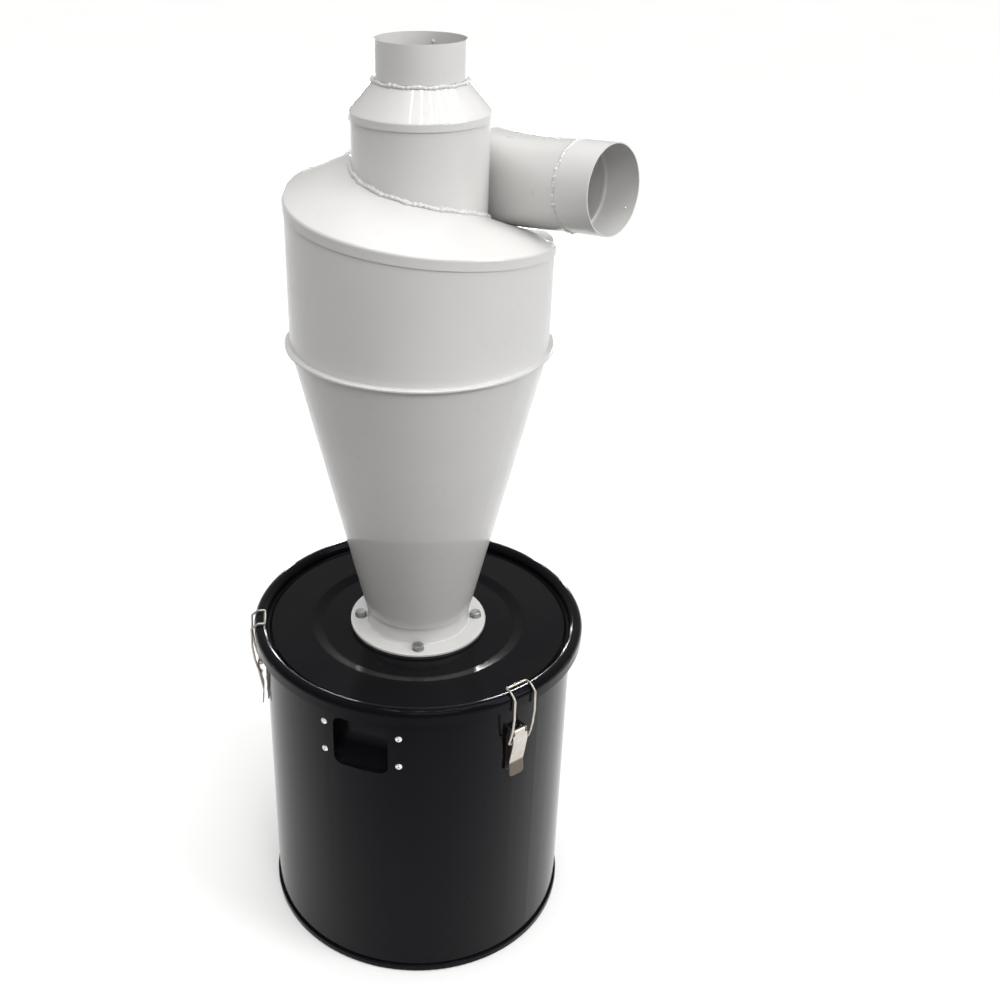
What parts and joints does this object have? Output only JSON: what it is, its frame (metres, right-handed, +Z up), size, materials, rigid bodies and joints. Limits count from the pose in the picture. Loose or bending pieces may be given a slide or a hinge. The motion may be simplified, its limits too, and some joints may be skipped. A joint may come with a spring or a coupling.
{
  "type": "cyclone dust collector",
  "caption": "Cyclone dust separator with a spiral top, tangential inlet and upright outlet, bolted to the latched lid of a round steel collection drum.",
  "frame": {"origin": "on the floor, on the axis of the drum and the cyclone", "axes": "+Z up along the cyclone's axis; +X the way the inlet pipe points in plan; the inlet pipe is on the +Y side"},
  "size_m": [0.4305, 0.427, 1.149],
  "materials": {
    "white_powder": "gloss powder coat",
    "black_paint": "gloss",
    "latch_steel": "nickel plated, satin",
    "zinc_steel": "zinc plated",
    "rivet_aluminium": "satin",
    "gasket_rubber": "matt"
  },
  "bodies": {
    "drum": {"drum_shell": "black_paint", "drum_bottom": "black_paint", "bottom_chime": "black_paint", "grip_pocket_front": "black_paint", "grip_pocket_rear": "black_paint", "pocket_rivets_front": "rivet_aluminium", "pocket_rivets_rear": "rivet_aluminium", "latch_base_1": "latch_steel", "latch_base_2": "latch_steel", "latch_base_3": "latch_steel", "latch_pin_1": "latch_steel", "latch_pin_2": "latch_steel", "latch_pin_3": "latch_steel", "latch_rivets_1": "rivet_aluminium", "latch_rivets_2": "rivet_aluminium", "latch_rivets_3": "rivet_aluminium"},
    "lid": {"lid_panel": "black_paint", "lid_gasket": "gasket_rubber", "flange_gasket": "gasket_rubber", "base_flange": "white_powder", "flange_bolts": "zinc_steel", "flange_washers": "zinc_steel", "flange_nuts": "zinc_steel", "stub_weld": "white_powder", "dust_outlet_stub": "white_powder", "cone": "white_powder", "mid_flange": "white_powder", "barrel": "white_powder", "spiral_roof": "white_powder", "inlet_end_plate": "white_powder", "inlet_transition": "white_powder", "inlet_pipe": "white_powder", "inlet_sleeve": "white_powder", "inlet_weld": "white_powder", "neck_tube": "white_powder", "neck_weld": "white_powder", "reducer": "white_powder", "outlet_pipe": "white_powder", "outlet_weld": "white_powder"},
    "latch_lever_1": {"latch_lever_1": "latch_steel"},
    "latch_bail_1": {"latch_bail_1": "latch_steel"},
    "latch_lever_2": {"latch_lever_2": "latch_steel"},
    "latch_bail_2": {"latch_bail_2": "latch_steel"},
    "latch_lever_3": {"latch_lever_3": "latch_steel"},
    "latch_bail_3": {"latch_bail_3": "latch_steel"}
  },
  "joints": [
    {"name": "lid_lift", "type": "slide", "parent": "drum", "child": "lid", "axis": [0, 0, 1], "range_m": [0, 0.04]},
    {"name": "latch_lever_1_hinge", "type": "hinge", "parent": "drum", "child": "latch_lever_1", "pos_m": [0.20345, -0.04325, 0.38], "axis": [-0.2079, -0.9781, 0], "range_deg": [0, 140.5]},
    {"name": "latch_bail_1_hinge", "type": "hinge", "parent": "latch_lever_1", "child": "latch_bail_1", "pos_m": [0.20424, -0.04341, 0.3655], "axis": [0.2079, 0.9781, 0], "range_deg": [0, 318.5]},
    {"name": "latch_lever_2_hinge", "type": "hinge", "parent": "drum", "child": "latch_lever_2", "pos_m": [-0.06428, 0.19782, 0.38], "axis": [0.9511, 0.309, 0], "range_deg": [0, 140.5]},
    {"name": "latch_bail_2_hinge", "type": "hinge", "parent": "latch_lever_2", "child": "latch_bail_2", "pos_m": [-0.06452, 0.19858, 0.3655], "axis": [-0.9511, -0.309, 0], "range_deg": [0, 318.5]},
    {"name": "latch_lever_3_hinge", "type": "hinge", "parent": "drum", "child": "latch_lever_3", "pos_m": [-0.13918, -0.15457, 0.38], "axis": [-0.7431, 0.6691, 0], "range_deg": [0, 140.5]},
    {"name": "latch_bail_3_hinge", "type": "hinge", "parent": "latch_lever_3", "child": "latch_bail_3", "pos_m": [-0.13971, -0.15517, 0.3655], "axis": [0.7431, -0.6691, 0], "range_deg": [0, 318.5]}
  ],
  "couplings": [
    {"joint": "latch_lever_1_hinge", "follows": "lid_lift", "rad_per_m": 61.087},
    {"joint": "latch_bail_1_hinge", "follows": "lid_lift", "rad_per_m": 138.75},
    {"joint": "latch_lever_2_hinge", "follows": "lid_lift", "rad_per_m": 61.087},
    {"joint": "latch_bail_2_hinge", "follows": "lid_lift", "rad_per_m": 138.75},
    {"joint": "latch_lever_3_hinge", "follows": "lid_lift", "rad_per_m": 61.087},
    {"joint": "latch_bail_3_hinge", "follows": "lid_lift", "rad_per_m": 138.75}
  ]
}
